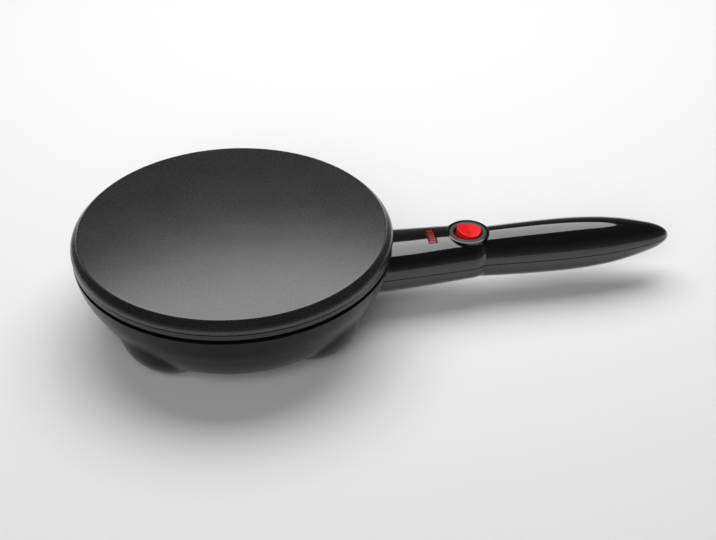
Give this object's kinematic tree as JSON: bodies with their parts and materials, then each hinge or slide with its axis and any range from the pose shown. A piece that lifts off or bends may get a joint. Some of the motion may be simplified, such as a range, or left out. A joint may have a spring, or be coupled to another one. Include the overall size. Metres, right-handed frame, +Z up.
{
  "type": "electric crepe maker",
  "caption": "Dip-type electric crepe maker: domed round hot plate on a footed bowl, long hollow handle with a round rocker switch and pilot window, lift-off power socket underneath.",
  "frame": {"origin": "middle of the bottom of the overall box, at foot-pad level", "axes": "+X from the plate along the handle to its tip, +Y across, +Z up through the plate"},
  "size_m": [0.4045, 0.209, 0.074],
  "materials": {
    "nonstick_plate": "satin, speckled non-stick coating",
    "element_steel": "dull sheath",
    "ceramic": "matt ceramic",
    "nickel_steel": "bright",
    "zinc_steel": "zinc plated",
    "aluminium": "bare",
    "shield_aluminium": "rolled sheet",
    "bakelite": "moulded thermoset",
    "brass": "bare brass",
    "rim_black": "satin heat-resistant plastic",
    "gloss_black": "glossy moulded plastic",
    "pad_rubber": "matt",
    "nylon_clear": "natural nylon",
    "dark_grey": "satin moulded plastic",
    "rocker_red": "glossy",
    "spring_steel": "bright wire",
    "lens_red": "translucent red",
    "lamp_glass": "clear",
    "wire_red": "silicone-sleeved lead",
    "wire_white": "silicone-sleeved lead",
    "wire_green": "silicone-sleeved lead"
  },
  "bodies": {
    "housing": {"bowl": "gloss_black", "clamp_rivets": "aluminium", "cooking_plate": "nonstick_plate", "earth_terminal": "brass", "element_clamps": "zinc_steel", "element_pins": "nickel_steel", "element_seals": "ceramic", "foot_pads": "pad_rubber", "fuse_strap": "zinc_steel", "handle_lower": "gloss_black", "handle_screws": "zinc_steel", "handle_tang": "zinc_steel", "handle_upper": "gloss_black", "heat_shield": "shield_aluminium", "heating_element": "element_steel", "inlet_connectors": "nylon_clear", "inlet_earth_pin": "brass", "inlet_housing": "bakelite", "inlet_live_ring": "brass", "inlet_neutral_ring": "brass", "inlet_screws": "zinc_steel", "lamp_holder": "nylon_clear", "lead_earth": "wire_green", "lead_fuse_element": "wire_red", "lead_lamp_live": "wire_white", "lead_lamp_neutral": "wire_white", "lead_live_in": "wire_red", "lead_live_out": "wire_red", "lead_neutral": "wire_white", "lead_thermostat_fuse": "wire_red", "pilot_lamp": "lamp_glass", "pilot_lens": "lens_red", "plate_screws": "zinc_steel", "rim_collar": "rim_black", "strap_screws": "zinc_steel", "switch_housing": "dark_grey", "switch_terminals": "brass", "tang_screws": "zinc_steel", "thermal_fuse": "zinc_steel", "thermostat": "bakelite", "thermostat_strap": "zinc_steel"},
    "rocker": {"rocker": "rocker_red", "switch_plunger": "nylon_clear", "switch_spring": "spring_steel"},
    "contact_blade": {"contact_blade": "brass"}
  },
  "joints": [
    {"name": "rocker_tilt", "type": "hinge", "parent": "housing", "child": "rocker", "pos_m": [0.05985, 0, 0.0464], "axis": [0, -1, 0], "range_deg": [0, 16]},
    {"name": "blade_tilt", "type": "hinge", "parent": "housing", "child": "contact_blade", "pos_m": [0.05985, 0, 0.0366], "axis": [0, -1, 0], "range_deg": [-10, 0]}
  ],
  "couplings": [
    {"joint": "blade_tilt", "follows": "rocker_tilt", "ratio": -0.625}
  ]
}
